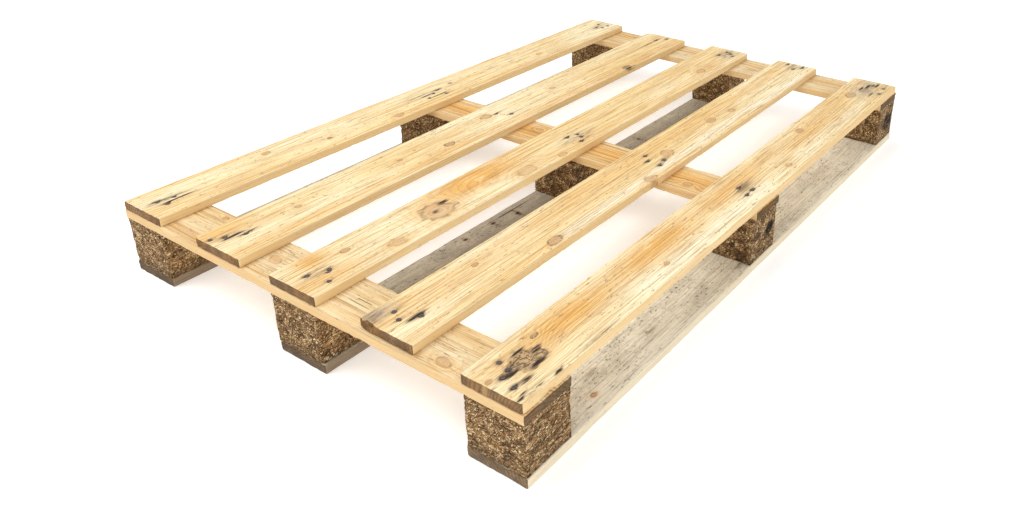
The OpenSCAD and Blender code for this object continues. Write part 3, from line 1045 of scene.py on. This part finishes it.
CROSS_LOOKS = {
    "cross_front": dict(
        PLAIN, seed=61, pith=(-30, -60), heart=[(-30, 12, 0.4)], iron=0.5,
        knots=[(-555, 91, 8, 0.2, 1.5), (-582, -261, 8, 0.3, 1.5), (-527, 250, 4, 0.4, 1.5)],
        splits=[(-112, -56, -2, 3.0), (-108, -70, 6, 1.8)], wane=[(262, 300, -1, 5, 9)],
    ),
    "cross_middle": dict(
        PLAIN, seed=67, pith=(10, -34), heart=[(0, 30, 1.0)], iron=0.5,
        knots=[(-20, -260, 6, 0.3, 1.5), (10, 80, 5, 0.3, 1.5)], splits=[(-100, -60, 12, 2.0)],
    ),
    "cross_rear": dict(
        PLAIN, seed=71, pith=(-18, -50), heart=[(12, 18, 0.5)], iron=0.5,
        knots=[(540, -90, 7, 0.2, 1.4), (575, 240, 6, 0.4, 1.4)],
    ),
}
RUNNER_LOOKS = {
    "runner_left": dict(
        PLAIN, seed=73, pith=(20, -40), wear=1.4, iron=0.7, knots=[(-180, 360, 9, 0.5, 1.4)],
        grey=[(0, 10, 500, 60, 0.6)],
    ),
    "runner_centre": dict(
        PLAIN, seed=79, pith=(-30, -60), wear=1.4, iron=0.7,
        grey=[(-150, 0, 420, 80, 1.0), (350, 0, 300, 80, 0.8)],
        smears=[(-187, 21, 4, 12, 0.9), (-134, 16, 4, 14, 0.9), (-254, 24, 4, 11, 0.8),
                (252, 20, 4, 16, 0.9), (-150, 30, 60, 1.6, 0.8)],
    ),
    "runner_right": dict(
        PLAIN, seed=83, pith=(50, -30), wear=1.4, iron=0.7,
        knots=[(-440, -376, 4, 0.5, 1.4)],
        grey=[(-395, 0, 45, 15, 1.0), (-284, -8, 26, 9, 0.9), (-170, -18, 40, 12, 0.9),
              (-66, -28, 34, 10, 0.8), (118, -36, 60, 12, 0.6), (-200, 16, 420, 16, 0.5),
              (300, 10, 240, 24, 0.45)],
        smears=[(-284, -362, 12, 4, 0.35), (-66, -384, 16, 4, 0.35), (-405, -347, 14, 5, 0.3)],
    ),
}
BLOCK_SMUDGES = {"block_middle_right": (20, 4, 13), "block_rear_right": (14, -2, 24)}
# Painted shade: darkens these whole blocks, through their chip depth.
BLOCK_PAINTED_SHADES = {"block_middle_right": 0.2, "block_middle_centre": 0.15}


def build_boards():
    """Builds the deck boards, cross boards and runners."""
    deck_nodes = [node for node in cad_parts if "nails_" in node and "runner" not in node]
    runner_nodes = [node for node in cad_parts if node.startswith("runner_nails")]
    deck_nails = nail_places(sorted(deck_nodes), 1)
    runner_nails = nail_places(sorted(runner_nodes), -1)
    pine = wood_material("pine_deck", PINE)
    cross = wood_material("pine_cross", CROSS)
    pale_runner = wood_material("pine_runner_pale", RUNNER)
    shaded_brown_runner = wood_material("pine_runner_brown_shaded", RUNNER_BROWN_SHADED)
    for node, look in DECK_LOOKS.items():
        build_board(node, "x", look, deck_nails, 1, pine)
    for node, look in CROSS_LOOKS.items():
        build_board(node, "y", look, [], 1, cross)
    for node, look in RUNNER_LOOKS.items():
        runner = pale_runner if node == "runner_right" else shaded_brown_runner
        build_board(node, "x", look, runner_nails, -1, runner)


def build_blocks():
    """Builds the nine blocks, each from a seed of its own."""
    chips = pressed_wood_material()
    blocks = sorted(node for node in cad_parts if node.startswith("block_"))
    for count, node in enumerate(blocks):
        build_block(node, 100 + count, BLOCK_SMUDGES.get(node), BLOCK_PAINTED_SHADES.get(node, 0.0), chips)


def dress_nails():
    """Gives the CAD nails their material and keeps their shapes."""
    steel = nail_material()
    for node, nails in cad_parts.items():
        if "nails_" in node:
            nails.data.materials.clear()
            nails.data.materials.append(steel)


# -------- studio


def build_floor():
    """A plain pale floor."""
    bpy.ops.mesh.primitive_plane_add(size=40.0)
    floor = bpy.context.object
    floor.name = "studio_floor"
    shader = Shader("studio_floor_pale")
    place = shader.node("ShaderNodeTexCoord").outputs["Object"]
    speckle = shader.noise(place, scale=30.0, detail=3.0)
    colour = shader.mix(shader.span(speckle, 0.3, 0.7), (0.90, 0.90, 0.90), (0.92, 0.92, 0.915))
    shader.plug(colour, shader.surface.inputs["Base Color"])
    shader.surface.inputs["Roughness"].default_value = 0.9
    shader.surface.inputs["Specular IOR Level"].default_value = 0.1
    shader.surface.inputs["Emission Color"].default_value = (1.0, 1.0, 1.0, 1.0)
    shader.surface.inputs["Emission Strength"].default_value = 0.30
    floor.data.materials.append(shader.material)


def add_area_light(name, place, target, size, power):
    data = bpy.data.lights.new(name, "AREA")
    data.shape = "DISK"
    data.size = size
    data.energy = power
    lamp = bpy.data.objects.new(name, data)
    lamp.location = place
    lamp.rotation_euler = (Vector(target) - Vector(place)).to_track_quat("-Z", "Y").to_euler()
    bpy.context.scene.collection.objects.link(lamp)


def light_studio():
    """A white surround with a soft key light and a soft fill light."""
    world = bpy.data.worlds.new("studio")
    world.use_nodes = True
    world.node_tree.nodes["Background"].inputs["Color"].default_value = (1.0, 1.0, 1.0, 1.0)
    world.node_tree.nodes["Background"].inputs["Strength"].default_value = 0.86
    bpy.context.scene.world = world
    add_area_light("key", (-1.6, 1.4, 3.4), (0, 0, 0), size=2.2, power=62)
    add_area_light("fill", (-2.6, -3.0, 1.7), (0, 0, 0.05), size=2.4, power=30)
    bpy.context.scene.view_settings.view_transform = "Standard"


def add_camera():
    """The photograph's view: from beyond the front right corner, looking down."""
    right = Vector((0.55857, -0.82928, 0.01748))
    down = Vector((-0.35208, -0.25612, -0.90025))
    ahead = Vector((0.75103, 0.49669, -0.43503))
    data = bpy.data.cameras.new("camera")
    data.sensor_width = 36.0
    data.lens = 31.22
    data.shift_x = -0.1196
    data.shift_y = -0.0938
    camera = bpy.data.objects.new("camera", data)
    turn = Matrix((right, -down, -ahead)).transposed().to_4x4()
    camera.matrix_world = Matrix.Translation((-1.1589, -0.9064, 0.7810)) @ turn
    bpy.context.scene.collection.objects.link(camera)
    bpy.context.scene.camera = camera


build_boards()
build_blocks()
dress_nails()
build_floor()
light_studio()
add_camera()
